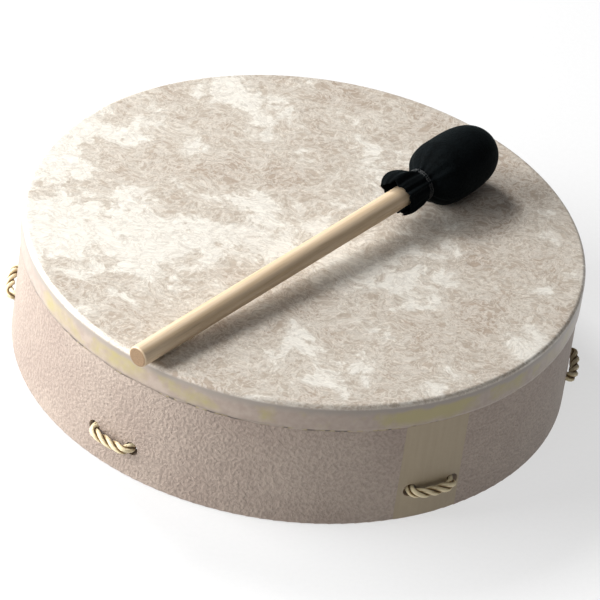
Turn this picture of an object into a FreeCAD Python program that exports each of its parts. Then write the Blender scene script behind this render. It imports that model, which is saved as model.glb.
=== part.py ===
"""Frame drum with a rope hand-hold and a fleece-headed mallet lying on its head.

Millimetres. +Z is up and the origin is the centre of the hoop's bottom edge. The drum stands on
the open edge of its hoop, with the drumhead on top, as it lies on a table. Three ropes cross inside
as a hand-hold. Each one leaves the hoop through a hole, lies along the outside for a short loop and
goes back in through the next hole.
"""
import FreeCAD, Part
import math
import os
import Sketcher
from FreeCAD import Placement, Rotation, Vector

os.makedirs("parts", exist_ok=True)

doc = FreeCAD.newDocument("frame_drum")
sheet = doc.addObject("Spreadsheet::Sheet", "Size")

# Each size that can be set by itself, with what it is. Angles are in degrees.
SIZES = (
    ("shell_radius", 177.0, "outside radius of the hoop"),
    ("shell_wall", 7.0, "thickness of the hoop"),
    ("shell_height", 91.4, "height of the hoop"),
    ("rim_round", 2.0, "rounding of the top outer edge, under the film"),
    ("edge_round", 0.8, "rounding of the hoop's other edges"),
    ("strip_width", 44.0, "width of the joint strip along the outside of the hoop"),
    ("strip_thickness", 0.6, "thickness of the joint strip"),
    ("strip_offset", 0.5, "angle from the front right loop back to the middle of the joint strip"),
    ("bond_gap", 0.05, "clearance in a glued joint"),
    ("film_thickness", 0.5, "thickness of the drumhead film"),
    ("film_lift", 0.1, "clearance between the film and the top of the hoop"),
    ("collar_depth", 18.0, "how far the film turns down over the outside"),
    ("bare_depth", 6.0, "upper part of the turned-down film that has no glue behind it"),
    ("glue_overrun", 1.2, "glue squeezed out below the edge of the film"),
    ("glue_thickness", 0.4, "thickness of the glue behind the film"),
    ("rope_diameter", 6.5, "diameter of the hand-hold ropes"),
    ("rope_gap", 0.3, "clearance between two strands of rope"),
    ("rope_stand", 0.35, "clearance between the outside loops and the hoop"),
    ("loop_bulge", 0.6, "how far the middle of an outside loop stands out"),
    ("bend_inside", 1.75, "inside radius of the rope's bend round the edge of a hole"),
    ("hole_clearance", 2.5, "how much wider a rope hole is than the rope"),
    ("hole_height", 22.0, "height of the rope holes above the bottom edge"),
    ("hole_pitch", 30.0, "distance between the two holes of a loop"),
    ("loop_angle", 56.0, "angle between the first rope and each of the other two"),
    ("end_gap", 1.0, "gap between the two ends of a rope at the hub"),
    ("lash_diameter", 2.6, "diameter of the cord that lashes the hub"),
    ("lash_gap", 0.15, "clearance round the lashing cord"),
    ("lash_corner", 3.0, "radius of the lashing cord's corners"),
    ("seizing_length", 9.0, "length of the twine wrapping on a pair of strands"),
    ("seizing_space", 1.0, "space between the lashing and a wrapping"),
    ("twine_diameter", 1.6, "thickness of the twine wrapping"),
    ("twine_gap", 0.15, "clearance between the twine and the rope"),
    ("handle_diameter", 14.0, "diameter of the mallet's dowel"),
    ("handle_reach", 291.0, "from the middle of the mallet's head to the butt"),
    ("handle_insert", 12.0, "how far the dowel runs past the middle of the head"),
    ("handle_round", 1.5, "rounding of the dowel's ends"),
    ("head_radius", 21.5, "radius of the mallet's head"),
    ("head_nose", 34.5, "from the middle of the head to its tip"),
    ("head_straight", 10.0, "from the middle of the head back to its round rear"),
    ("cloth_thickness", 1.5, "thickness of the fleece cover"),
    ("core_gap", 0.1, "clearance between the mallet's pieces"),
    ("gather_thickness", 3.2, "thickness of the gathered fleece at the neck"),
    ("neck_length", 6.0, "length of the gathered neck behind the head's round rear"),
    ("frill_length", 9.0, "length of the loose fleece behind the tie"),
    ("frill_flare", 1.6, "how far the loose fleece flares out"),
    ("tie_diameter", 1.4, "diameter of the cord that ties the neck"),
    ("rest_gap", 0.3, "clearance between the mallet and the drumhead"),
    ("mallet_x", 86.2, "place of the middle of the mallet's head along X"),
    ("mallet_y", 67.2, "place of the middle of the mallet's head along Y"),
    ("mallet_angle", 52.8, "direction in which the mallet points, from +X"),
)

for row, (alias, value, meaning) in enumerate(SIZES, start=1):
    sheet.set("A%d" % row, meaning)
    sheet.set("B%d" % row, str(value))
    sheet.setAlias("B%d" % row, alias)
doc.recompute()


def size(alias):
    """The value of one cell of the sheet."""
    return float(getattr(sheet, alias))


# Sizes that follow from the sheet, as expressions for setExpression.
WALL_INSIDE = "(Size.shell_radius - Size.shell_wall)"
STRIP_INSIDE = "(Size.shell_radius - Size.strip_thickness)"
STRIP_TOP = "(Size.shell_height - Size.rim_round)"
STRIP_TURN = "(360 - Size.loop_angle - Size.strip_offset)"
STRIP_SPAN = "(Size.strip_width / Size.shell_radius * 180 / pi)"
BOND_SPAN = "(Size.bond_gap / Size.shell_radius * 180 / pi)"
GLUE_INSIDE = "(Size.shell_radius + Size.bond_gap)"
GLUE_OUTSIDE = "(%s + Size.glue_thickness)" % GLUE_INSIDE
FILM_INSIDE = "(%s + Size.bond_gap)" % GLUE_OUTSIDE
FILM_OUTSIDE = "(%s + Size.film_thickness)" % FILM_INSIDE
FILM_UNDER = "(Size.shell_height + Size.film_lift)"
FILM_TOP = "(%s + Size.film_thickness)" % FILM_UNDER
COLLAR_BOTTOM = "(Size.shell_height - Size.collar_depth)"
CORNER_ROUND = "(Size.rim_round + Size.film_lift + Size.bond_gap)"
HOLE_RADIUS = "((Size.rope_diameter + Size.hole_clearance) / 2)"
HANDLE_RADIUS = "(Size.handle_diameter / 2)"
BORE_RADIUS = "(%s + Size.core_gap)" % HANDLE_RADIUS
NECK_RADIUS = "(%s + Size.gather_thickness)" % BORE_RADIUS
NECK_START = "(Size.head_straight + sqrt(pow(Size.head_radius; 2) - pow(%s; 2)))" % NECK_RADIUS
NECK_END = "(%s + Size.neck_length)" % NECK_START
FRILL_END = "(%s + Size.frill_length)" % NECK_END
HALF_TURN = 180.0
QUARTER_TURN = 90.0


def value_of(expression):
    """The number that an expression gives now."""
    result = sheet.evalExpression(expression)
    return float(getattr(result, "Value", result))


def new_body(label):
    """A body whose name and label are the node's name."""
    body = doc.addObject("PartDesign::Body", label)
    body.Label = label
    return body


def new_sketch(body, name, role, turn="0"):
    """A sketch on one of the body's own planes, turned about the sketch's upright axis."""
    plane = [item for item in body.Origin.OriginFeatures if item.Role == role][0]
    sketch = body.newObject("Sketcher::SketchObject", name)
    sketch.AttachmentSupport = [(plane, "")]
    sketch.MapMode = "FlatFace"
    if turn != "0":
        sketch.AttachmentOffset = Placement(Vector(), Rotation(Vector(0, 1, 0), value_of(turn)))
        sketch.setExpression(".AttachmentOffset.Rotation.Angle", turn)
    return sketch


def bind(sketch, constraint, expression):
    """Adds a sized constraint and ties it to an expression."""
    index = sketch.addConstraint(constraint)
    sketch.setExpression("Constraints[%d]" % index, expression)


def polygon(sketch, corners):
    """A closed outline of straight lines whose corners are pairs of expressions."""
    places = [Vector(value_of(across), value_of(up), 0) for across, up in corners]
    first = sketch.GeometryCount
    count = len(corners)
    for step in range(count):
        sketch.addGeometry(Part.LineSegment(places[step], places[(step + 1) % count]))
    for step in range(count):
        line = first + step
        sketch.addConstraint(Sketcher.Constraint("Coincident", line, 2, first + (step + 1) % count, 1))
        across, up = corners[step]
        bind(sketch, Sketcher.Constraint("DistanceX", -1, 1, line, 1, places[step].x), across)
        bind(sketch, Sketcher.Constraint("DistanceY", -1, 1, line, 1, places[step].y), up)


def circle(sketch, up, radius):
    """A circle on the sketch's upright axis."""
    round_edge = Part.Circle(Vector(0, value_of(up), 0), Vector(0, 0, 1), value_of(radius))
    curve = sketch.addGeometry(round_edge)
    sketch.addConstraint(Sketcher.Constraint("PointOnObject", curve, 3, -2))
    if up == "0":
        sketch.addConstraint(Sketcher.Constraint("PointOnObject", curve, 3, -1))
    else:
        bind(sketch, Sketcher.Constraint("DistanceY", -1, 1, curve, 3, value_of(up)), up)
    bind(sketch, Sketcher.Constraint("Radius", curve, value_of(radius)), radius)


def slot(sketch, half_length, radius):
    """A closed slot along the sketch's level axis, centred on the sketch's origin."""
    reach = value_of(half_length)
    bend = value_of(radius)
    along = Vector(reach, 0, 0)
    up = Vector(0, bend, 0)
    right = Part.ArcOfCircle(Part.Circle(along, Vector(0, 0, 1), bend), -math.pi / 2, math.pi / 2)
    left = Part.ArcOfCircle(Part.Circle(-along, Vector(0, 0, 1), bend), math.pi / 2, 3 * math.pi / 2)
    right_end = sketch.addGeometry(right)
    left_end = sketch.addGeometry(left)
    top = sketch.addGeometry(Part.LineSegment(along + up, up - along))
    bottom = sketch.addGeometry(Part.LineSegment(-along - up, along - up))
    for line, start_arc, end_arc in ((top, right_end, left_end), (bottom, left_end, right_end)):
        sketch.addConstraint(Sketcher.Constraint("Tangent", start_arc, 2, line, 1))
        sketch.addConstraint(Sketcher.Constraint("Tangent", line, 2, end_arc, 1))
    sketch.addConstraint(Sketcher.Constraint("PointOnObject", right_end, 3, -1))
    sketch.addConstraint(Sketcher.Constraint("PointOnObject", left_end, 3, -1))
    bind(sketch, Sketcher.Constraint("DistanceX", -1, 1, right_end, 3, reach), half_length)
    bind(sketch, Sketcher.Constraint("DistanceX", left_end, 3, -1, 1, reach), half_length)
    bind(sketch, Sketcher.Constraint("Radius", right_end, bend), radius)


def spin(body, name, corners):
    """A full turn of an outline about the body's Z axis."""
    sketch = new_sketch(body, name + "_outline", "XZ_Plane")
    polygon(sketch, corners)
    feature = body.newObject("PartDesign::Revolution", name)
    feature.Profile = sketch
    feature.ReferenceAxis = (sketch, ["V_Axis"])
    feature.Angle = 2 * HALF_TURN
    doc.recompute()
    return feature


def ring_edges(shape, radius, height):
    """Names of the circular edges about Z with this radius at this height."""
    names = []
    for number, edge in enumerate(shape.Edges, start=1):
        if not isinstance(edge.Curve, Part.Circle):
            continue
        right_radius = abs(edge.Curve.Radius - radius) < 1e-4
        right_height = abs(edge.Curve.Center.z - height) < 1e-4
        if right_radius and right_height:
            names.append("Edge%d" % number)
    return names


def round_rings(body, name, base, rings, radius):
    """Rounds the circular edges that rings gives as pairs of radius and height expressions."""
    names = []
    for ring_radius, height in rings:
        names += ring_edges(base.Shape, value_of(ring_radius), value_of(height))
    if len(names) < len(rings):
        raise RuntimeError("%s found %d edges of %d" % (name, len(names), len(rings)))
    feature = body.newObject("PartDesign::Fillet", name)
    feature.Base = (base, names)
    feature.setExpression("Radius", radius)
    doc.recompute()
    return feature


def rope_holes(body, ropes):
    """Holes for the ropes' outside loops, each pocket going through both sides of the hoop."""
    for number in ropes:
        for side, sign in (("a", "-"), ("b", "+")):
            turn = "%s %s %s + 90" % (ROPE_TURN[number], sign, HOLE_TURN)
            sketch = new_sketch(body, "hole_%d%s_outline" % (number, side), "XZ_Plane", turn)
            circle(sketch, "Size.hole_height", HOLE_RADIUS)
            pocket = body.newObject("PartDesign::Pocket", "hole_%d%s" % (number, side))
            pocket.Profile = sketch
            pocket.Type = "ThroughAll"
            pocket.Midplane = True
            doc.recompute()


def rounded_wire(corners, closed=False):
    """Straight runs through corners, each a point and the length that its arc takes of a run."""
    points = [point for point, length in corners]
    count = len(points)
    edges = []
    radii = []
    start = None if closed else points[0]
    first = None
    for step in range(count) if closed else range(1, count - 1):
        point, length = corners[step]
        arriving = (point - points[step - 1]).normalize()
        leaving = (points[(step + 1) % count] - point).normalize()
        half_turn = arriving.getAngle(leaving) / 2
        radius = length / math.tan(half_turn)
        inward = (leaving - arriving).normalize()
        arc_start = point - arriving * length
        arc_end = point + leaving * length
        arc_middle = point + inward * (radius / math.cos(half_turn) - radius)
        if start is None:
            first = arc_start
        else:
            edges.append(Part.LineSegment(start, arc_start).toShape())
        edges.append(Part.Arc(arc_start, arc_middle, arc_end).toShape())
        radii.append(radius)
        start = arc_end
    edges.append(Part.LineSegment(start, first if closed else points[-1]).toShape())
    return Part.Wire(edges), radii


def sweep(name, wire, diameter):
    """A round cord along a wire, with its volume compared with its section times its length."""
    route = doc.addObject("Part::Feature", name + "_route")
    route.Shape = wire
    start = wire.Edges[0]
    heading = start.tangentAt(start.FirstParameter)
    section = doc.addObject("Part::Circle", name + "_section")
    section.setExpression("Radius", diameter + " / 2")
    section.Placement = Placement(start.Vertexes[0].Point, Rotation(Vector(0, 0, 1), heading))
    cord = doc.addObject("Part::Sweep", name)
    cord.Sections = [section]
    cord.Spine = (route, ["Edge%d" % (number + 1) for number in range(len(wire.Edges))])
    cord.Solid = True
    cord.Frenet = False
    cord.Label = name
    doc.recompute()
    expected = math.pi / 4 * value_of(diameter) ** 2 * wire.Length
    if abs(cord.Shape.Volume / expected - 1) > 0.01:
        raise RuntimeError("%s has volume %.0f, not %.0f" % (name, cord.Shape.Volume, expected))
    return cord


# ---- Hoop, joint strip, film and glue --------------------------------------------------------

ROPE_TURN = {1: "0", 2: "Size.loop_angle", 3: "(180 - Size.loop_angle)"}
HOLE_TURN = "asin(Size.hole_pitch / 2 / Size.shell_radius) / 1deg"

shell = new_body("shell")
hoop = spin(shell, "hoop", (
    (WALL_INSIDE, "0"),
    ("Size.shell_radius", "0"),
    ("Size.shell_radius", "Size.shell_height"),
    (WALL_INSIDE, "Size.shell_height"),
))
soft_rim = round_rings(shell, "soft_rim", hoop, (("Size.shell_radius", "Size.shell_height"),),
                       "Size.rim_round")
soft_edges = round_rings(shell, "soft_edges", soft_rim, (
    ("Size.shell_radius", "0"),
    (WALL_INSIDE, "0"),
    (WALL_INSIDE, "Size.shell_height"),
), "Size.edge_round")
recess_outline = new_sketch(shell, "recess_outline", "XZ_Plane", STRIP_TURN)
polygon(recess_outline, (
    (STRIP_INSIDE, "Size.edge_round"),
    ("(Size.shell_radius + Size.shell_wall)", "Size.edge_round"),
    ("(Size.shell_radius + Size.shell_wall)", STRIP_TOP),
    (STRIP_INSIDE, STRIP_TOP),
))
recess = shell.newObject("PartDesign::Groove", "recess")
recess.Profile = recess_outline
recess.ReferenceAxis = (recess_outline, ["V_Axis"])
recess.Midplane = True
recess.setExpression("Angle", STRIP_SPAN)
doc.recompute()
rope_holes(shell, (1, 2, 3))

strip = new_body("seam_strip")
strip_outline = new_sketch(strip, "strip_outline", "XZ_Plane", STRIP_TURN)
polygon(strip_outline, (
    (STRIP_INSIDE + " + Size.bond_gap", "(Size.edge_round + Size.bond_gap)"),
    ("Size.shell_radius", "(Size.edge_round + Size.bond_gap)"),
    ("Size.shell_radius", "(%s - Size.bond_gap)" % STRIP_TOP),
    (STRIP_INSIDE + " + Size.bond_gap", "(%s - Size.bond_gap)" % STRIP_TOP),
))
strip_turn = strip.newObject("PartDesign::Revolution", "strip_turn")
strip_turn.Profile = strip_outline
strip_turn.ReferenceAxis = (strip_outline, ["V_Axis"])
strip_turn.Midplane = True
strip_turn.setExpression("Angle", "%s - 2 * %s" % (STRIP_SPAN, BOND_SPAN))
doc.recompute()
rope_holes(strip, (3,))

drumhead = new_body("drumhead")
film = spin(drumhead, "film", (
    ("0", FILM_UNDER),
    (FILM_INSIDE, FILM_UNDER),
    (FILM_INSIDE, COLLAR_BOTTOM),
    (FILM_OUTSIDE, COLLAR_BOTTOM),
    (FILM_OUTSIDE, FILM_TOP),
    ("0", FILM_TOP),
))
film_inner_round = round_rings(drumhead, "film_inner_round", film, ((FILM_INSIDE, FILM_UNDER),),
                               CORNER_ROUND)
round_rings(drumhead, "film_outer_round", film_inner_round, ((FILM_OUTSIDE, FILM_TOP),),
            "%s + Size.film_thickness" % CORNER_ROUND)

glue = new_body("collar_glue")
spin(glue, "glue_ring", (
    (GLUE_INSIDE, "(%s - Size.glue_overrun)" % COLLAR_BOTTOM),
    (GLUE_OUTSIDE, "(%s - Size.glue_overrun)" % COLLAR_BOTTOM),
    (GLUE_OUTSIDE, "(Size.shell_height - Size.bare_depth)"),
    (GLUE_INSIDE, "(Size.shell_height - Size.bare_depth)"),
))

# ---- Ropes ------------------------------------------------------------------------------------
# Seen along a rope, its two strands lie side by side at the hub, are wrapped together with twine a
# little way out, and spread from there to the two holes. The three ropes cross one above another.

rope_radius = size("rope_diameter") / 2
strand_offset = rope_radius + size("rope_gap") / 2
layer_step = size("rope_diameter") + size("rope_gap")
rope_angles = (0.0, size("loop_angle"), HALF_TURN - size("loop_angle"))
hole_turn = math.asin(size("hole_pitch") / 2 / size("shell_radius"))
lash_radius = size("lash_diameter") / 2
lash_step = size("lash_diameter") + size("lash_gap")
half_angle = math.radians(size("loop_angle")) / 2
pair_half_width = strand_offset + rope_radius
lash_room = pair_half_width + lash_radius + size("lash_gap") + lash_step / 2 * math.cos(half_angle)
lash_reach = lash_room / math.sin(half_angle)
seizing_start = lash_reach + lash_radius + size("seizing_space")
seizing_end = seizing_start + size("seizing_length")

SPREAD_ARC = 3.5        # length that the arc takes where the strands start to spread
ENTRY_ARC = 6.0         # the same where a strand comes into line with its hole
ENTRY_SPACE = 12.0      # straight stretch of rope inside the hoop, before its hole
MIDDLE_SHARE = 0.45     # share of a run that the arc at the middle of a loop takes


def polar(radius, angle, height):
    """A point at this radius and angle, in radians, about the drum's axis."""
    return Vector(radius * math.cos(angle), radius * math.sin(angle), height)


def loop_corners(middle):
    """One end of a rope: in at a hole, along the outside and back in at the next hole."""
    height = size("hole_height")
    inside = size("shell_radius") - size("shell_wall") - ENTRY_SPACE
    outside = (size("shell_radius") + rope_radius + size("rope_stand")) / math.cos(hole_turn / 2)
    corner = polar(outside, middle - hole_turn, height)
    peak = polar(outside + size("loop_bulge"), middle, height)
    turn = polar(1, middle - hole_turn, 0).getAngle(peak - corner)
    corner_arc = (rope_radius + size("bend_inside")) * math.tan(turn / 2)
    peak_arc = MIDDLE_SHARE * (peak - corner).Length
    return [
        (polar(inside, middle - hole_turn, height), ENTRY_ARC),
        (corner, corner_arc),
        (peak, peak_arc),
        (polar(outside, middle + hole_turn, height), corner_arc),
        (polar(inside, middle + hole_turn, height), ENTRY_ARC),
    ]


def rope_corners(layer):
    """The whole route of one rope, from its end at the hub, round both loops and back."""
    angle = math.radians(rope_angles[layer])
    height = size("hole_height") + (layer - 1) * layer_step
    along = polar(1, angle, 0)
    aside = polar(1, angle + math.pi / 2, 0)
    spread = seizing_end + 2 * SPREAD_ARC

    def hub_point(reach, offset):
        return along * reach + aside * offset + Vector(0, 0, height)

    corners = [(hub_point(size("end_gap") / 2, -strand_offset), 0)]
    corners.append((hub_point(spread, -strand_offset), SPREAD_ARC))
    corners += loop_corners(angle)
    corners.append((hub_point(spread, strand_offset), SPREAD_ARC))
    corners.append((hub_point(-spread, strand_offset), SPREAD_ARC))
    corners += loop_corners(angle + math.pi)
    corners.append((hub_point(-spread, -strand_offset), SPREAD_ARC))
    corners.append((hub_point(-size("end_gap") / 2, -strand_offset), 0))
    return corners


ropes = []
for layer in range(len(rope_angles)):
    rope_wire, rope_radii = rounded_wire(rope_corners(layer))
    ropes.append(sweep("hand_rope_%d" % (layer + 1), rope_wire, "Size.rope_diameter"))
    print("hand_rope_%d" % (layer + 1), "length", round(rope_wire.Length, 1))
    print("  radii", [round(radius, 1) for radius in rope_radii])

# ---- Twine wrappings, one on each pair of strands ---------------------------------------------

TWINE_INSIDE = "(Size.rope_diameter / 2 + Size.twine_gap)"
seizings = []
for number in range(2 * len(rope_angles)):
    layer = number % len(rope_angles)
    turn = rope_angles[layer] + HALF_TURN * (number // len(rope_angles))
    seizing = new_body("twine_seizing_%d" % (number + 1))
    wrap_outline = new_sketch(seizing, "wrap_outline_%d" % (number + 1), "XY_Plane")
    slot(wrap_outline, "((Size.rope_diameter + Size.rope_gap) / 2)", TWINE_INSIDE)
    slot(wrap_outline, "((Size.rope_diameter + Size.rope_gap) / 2)",
         "(%s + Size.twine_diameter)" % TWINE_INSIDE)
    wrap = seizing.newObject("PartDesign::Pad", "wrap_%d" % (number + 1))
    wrap.Profile = wrap_outline
    wrap.setExpression("Length", "Size.seizing_length")
    seat = polar(seizing_start, math.radians(turn), size("hole_height") + (layer - 1) * layer_step)
    outward = Rotation(Vector(0, 0, 1), turn) * Rotation(Vector(1, 1, 1), 120)
    seizing.Placement = Placement(seat, outward)
    seizings.append(seizing)

# ---- Hub lashing: two turns of cord in each of the three gaps between the ropes ---------------

lash_turns = []
ropes_half_height = layer_step + rope_radius
lash_angles = (size("loop_angle") / 2, QUARTER_TURN, HALF_TURN - size("loop_angle") / 2)
for layer, lash_angle in enumerate(lash_angles):
    half_height = ropes_half_height + size("lash_gap") + lash_radius + layer * lash_step
    for side in (-1, 1):
        along = polar(1, math.radians(lash_angle), 0)
        shift = polar(side * lash_step / 2, math.radians(lash_angle + QUARTER_TURN), 0)
        middle = shift + Vector(0, 0, size("hole_height"))
        ring = []
        for across, up in ((-1, -1), (1, -1), (1, 1), (-1, 1)):
            place = middle + along * (across * lash_reach) + Vector(0, 0, up * half_height)
            ring.append((place, size("lash_corner")))
        ring_wire = rounded_wire(ring, closed=True)[0]
        name = "lash_turn_%d" % (len(lash_turns) + 1)
        lash_turns.append(sweep(name, ring_wire, "Size.lash_diameter"))
lashing = doc.addObject("Part::Compound", "hub_lashing")
lashing.Links = lash_turns
lashing.Label = "hub_lashing"

# ---- Mallet -----------------------------------------------------------------------------------
# Local Z runs along the dowel towards the tip, and the local origin is the middle of the head.


def rest_placement():
    """The mallet lies on its head's round rear and on the drum's rim, a hair above both."""
    heading = math.radians(size("mallet_angle"))
    across = size("mallet_x") * math.cos(heading) + size("mallet_y") * math.sin(heading)
    flat_radius = value_of(FILM_INSIDE) - value_of(CORNER_ROUND)
    beside = size("mallet_x") ** 2 + size("mallet_y") ** 2 - across ** 2
    to_rim = across + math.sqrt(flat_radius ** 2 - beside)
    lever = min(to_rim, size("handle_reach")) - size("head_straight")
    handle_radius = size("handle_diameter") / 2
    tilt = math.asin(size("head_radius") / math.hypot(handle_radius, lever))
    tilt -= math.atan(handle_radius / lever)
    lift = size("head_radius") + size("rest_gap") + size("head_straight") * math.sin(tilt)
    place = Vector(size("mallet_x"), size("mallet_y"), value_of(FILM_TOP) + lift)
    turn = Rotation(Vector(0, 0, 1), size("mallet_angle"))
    lean = Rotation(Vector(0, 1, 0), QUARTER_TURN - math.degrees(tilt))
    return Placement(place, turn * lean)


def primitive(body, kind, name, values, back):
    """A PartDesign primitive on the body's Z axis, its foot this far behind the origin."""
    feature = body.newObject("PartDesign::" + kind, name)
    for key, expression in values.items():
        feature.setExpression(key, expression)
    feature.Placement = Placement(Vector(0, 0, -value_of(back)), Rotation())
    feature.setExpression(".Placement.Base.z", "-" + back)
    doc.recompute()
    return feature


def egg(body, prefix, name, less):
    """The head's form, smaller by less: a round rear, a short straight part and a long nose."""
    radius = "(Size.head_radius - %s)" % less
    primitive(body, prefix + "Sphere", name + "_rear", {"Radius": radius}, "Size.head_straight")
    primitive(body, prefix + "Cylinder", name + "_middle",
              {"Radius": radius, "Height": "Size.head_straight"}, "Size.head_straight")
    primitive(body, prefix + "Ellipsoid", name + "_nose", {
        "Radius1": "(Size.head_nose - %s)" % less,
        "Radius2": radius,
        "Radius3": radius,
        "Angle1": "0",
        "Angle2": "90",
    }, "0")


mallet_place = rest_placement()

handle = new_body("mallet_handle")
dowel = primitive(handle, "AdditiveCylinder", "dowel", {
    "Radius": HANDLE_RADIUS,
    "Height": "(Size.handle_reach + Size.handle_insert)",
}, "Size.handle_reach")
round_rings(handle, "dowel_ends", dowel, (
    (HANDLE_RADIUS, "-Size.handle_reach"),
    (HANDLE_RADIUS, "Size.handle_insert"),
), "Size.handle_round")

core = new_body("mallet_core")
egg(core, "Additive", "core", "(Size.cloth_thickness + Size.core_gap)")
primitive(core, "SubtractiveCylinder", "core_bore", {
    "Radius": BORE_RADIUS,
    "Height": "(Size.head_nose + Size.handle_insert + Size.core_gap)",
}, "Size.head_nose")

cover = new_body("mallet_cover")
egg(cover, "Additive", "cover", "0")
primitive(cover, "AdditiveCylinder", "neck", {
    "Radius": NECK_RADIUS,
    "Height": "(%s - Size.head_straight)" % NECK_END,
}, NECK_END)
primitive(cover, "AdditiveCone", "frill", {
    "Radius1": "(%s + Size.frill_flare)" % NECK_RADIUS,
    "Radius2": NECK_RADIUS,
    "Height": "Size.frill_length",
}, FRILL_END)
egg(cover, "Subtractive", "hollow", "Size.cloth_thickness")
primitive(cover, "SubtractiveCylinder", "handle_way", {
    "Radius": BORE_RADIUS,
    "Height": "(%s + Size.core_gap)" % FRILL_END,
}, "(%s + Size.core_gap)" % FRILL_END)

# Two turns of cord round the gathered neck, side by side.
tie_turns = []
for number in range(2):
    turn_ring = doc.addObject("Part::Torus", "tie_turn_%d" % (number + 1))
    turn_ring.setExpression("Radius1", "%s + Size.core_gap + Size.tie_diameter / 2" % NECK_RADIUS)
    turn_ring.setExpression("Radius2", "Size.tie_diameter / 2")
    along = "-(%s + %d / 3 * Size.neck_length)" % (NECK_START, number + 1)
    turn_ring.setExpression(".Placement.Base.z", along)
    tie_turns.append(turn_ring)
tie = doc.addObject("Part::Compound", "neck_tie")
tie.Links = tie_turns
tie.Label = "neck_tie"

for piece in (handle, core, cover, tie):
    piece.Placement = mallet_place

doc.recompute()

# ---- Checks and files -------------------------------------------------------------------------

PIECES = [shell, strip, drumhead, glue] + ropes + seizings + [lashing, handle, core, cover, tie]

for item in doc.Objects:
    if "Invalid" in item.State or "Error" in item.State:
        raise RuntimeError("%s is %s" % (item.Name, item.State))
    if item.TypeId in ("PartDesign::Pocket", "PartDesign::Groove"):
        if item.BaseFeature.Shape.Volume - item.Shape.Volume < 1:
            raise RuntimeError("%s cuts nothing" % item.Name)

for piece in PIECES:
    if piece.Shape.isNull() or not piece.Shape.isValid():
        raise RuntimeError("%s has no valid shape" % piece.Label)
    piece.Shape.exportStep("parts/%s.step" % piece.Label)
    box = piece.Shape.BoundBox
    print("%-18s %d solids %10.1f mm3" % (piece.Label, len(piece.Shape.Solids), piece.Shape.Volume),
          "z %.2f to %.2f" % (box.ZMin, box.ZMax))
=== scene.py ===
"""Frame drum with a rope hand-hold and a fleece-headed mallet: the visible pieces.

Every piece is built round the fixed frame, in metres, in the frame's own coordinates. +Z is up and
the origin is the centre of the hoop's bottom edge.
"""

import math

import bmesh
import bpy
from bpy.props import FloatProperty, FloatVectorProperty, IntProperty, PointerProperty
from mathutils import Matrix, Vector, kdtree, noise


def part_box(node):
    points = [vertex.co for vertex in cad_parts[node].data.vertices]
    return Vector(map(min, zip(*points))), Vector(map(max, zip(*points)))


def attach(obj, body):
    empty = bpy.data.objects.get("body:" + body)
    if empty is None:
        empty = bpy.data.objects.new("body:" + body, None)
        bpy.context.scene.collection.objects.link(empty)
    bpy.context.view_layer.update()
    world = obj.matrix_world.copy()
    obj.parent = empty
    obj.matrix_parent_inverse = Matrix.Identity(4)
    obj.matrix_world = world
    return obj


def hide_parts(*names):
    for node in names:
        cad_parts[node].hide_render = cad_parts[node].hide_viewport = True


bl_info = {
    "name": "Frame Drum and Mallet",
    "version": (1, 0, 0),
    "blender": (4, 5, 0),
    "location": "View3D > Sidebar > Frame Drum",
    "description": "Builds the film, ropes, mallet and finishes of a frame drum round its frame",
    "category": "Add Mesh",
}

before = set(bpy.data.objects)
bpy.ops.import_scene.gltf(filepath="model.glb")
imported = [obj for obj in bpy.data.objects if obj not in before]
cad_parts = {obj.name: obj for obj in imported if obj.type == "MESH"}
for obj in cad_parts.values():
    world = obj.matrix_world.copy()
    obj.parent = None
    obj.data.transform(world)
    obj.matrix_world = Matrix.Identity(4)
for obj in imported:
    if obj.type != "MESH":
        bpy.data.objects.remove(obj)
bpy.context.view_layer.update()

MM = 0.001
TURN = 2 * math.pi
UP = Vector((0, 0, 1))
ORIGIN = Vector((0, 0, 0))
DRUM = "drum"
MALLET = "mallet"

# The hub: where the ropes end, are bound together and begin to spread to their holes.
ROPE_END = 0.5 * MM
ROPE_BOUND = 22 * MM
ROPE_SPREAD = 38.14 * MM
WRAPS = 5
SEIZING_START = 22.14 * MM
SEIZING_LENGTH = 9 * MM
# The lashing: each plane's angle in degrees with its turns' half height in millimetres.
LASHED_PLANES = ((28.0, 11.5), (90.0, 14.25), (152.0, 17.0))
LASH_REACH = 19.84 * MM
LASH_ASIDE = 1.375 * MM
# The dowel ends this far past the middle of the mallet's head.
DOWEL_INSERT = 12 * MM


# ---- Colours and nodes ----


def linear(code):
    """An sRGB hex colour as linear red, green and blue."""
    values = []
    for place in (1, 3, 5):
        value = int(code[place:place + 2], 16) / 255
        values.append(value / 12.92 if value <= 0.04045 else ((value + 0.055) / 1.055) ** 2.4)
    return tuple(values)


def opaque(colour):
    """A colour, or one grey level, with an alpha of one."""
    return (colour,) * 3 + (1.0,) if isinstance(colour, (int, float)) else (*colour, 1.0)


def per_metre(millimetres):
    """The scale at which a pattern repeats about once in this many millimetres."""
    return 1 / (millimetres * MM)


def link(tree, source, socket):
    """Links a socket, or a node's first output that is in use, to another node's socket."""
    if isinstance(source, bpy.types.Node):
        source = next(output for output in source.outputs if output.enabled)
    tree.links.new(source, socket)


def add(tree, kind, inputs=None, stops=None, **settings):
    """Adds a shader node with its settings, its sockets' values or links and a ramp's stops."""
    made = tree.nodes.new("ShaderNode" + kind)
    for name, value in settings.items():
        setattr(made, name, value)
    for socket, value in (inputs or {}).items():
        if isinstance(value, (bpy.types.Node, bpy.types.NodeSocket)):
            link(tree, value, made.inputs[socket])
        else:
            made.inputs[socket].default_value = value
    for number, (place, colour) in enumerate(stops or ()):
        elements = made.color_ramp.elements
        stop = elements[number] if number < 2 else elements.new(place)
        stop.position = place
        stop.color = opaque(colour)
    return made


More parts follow.
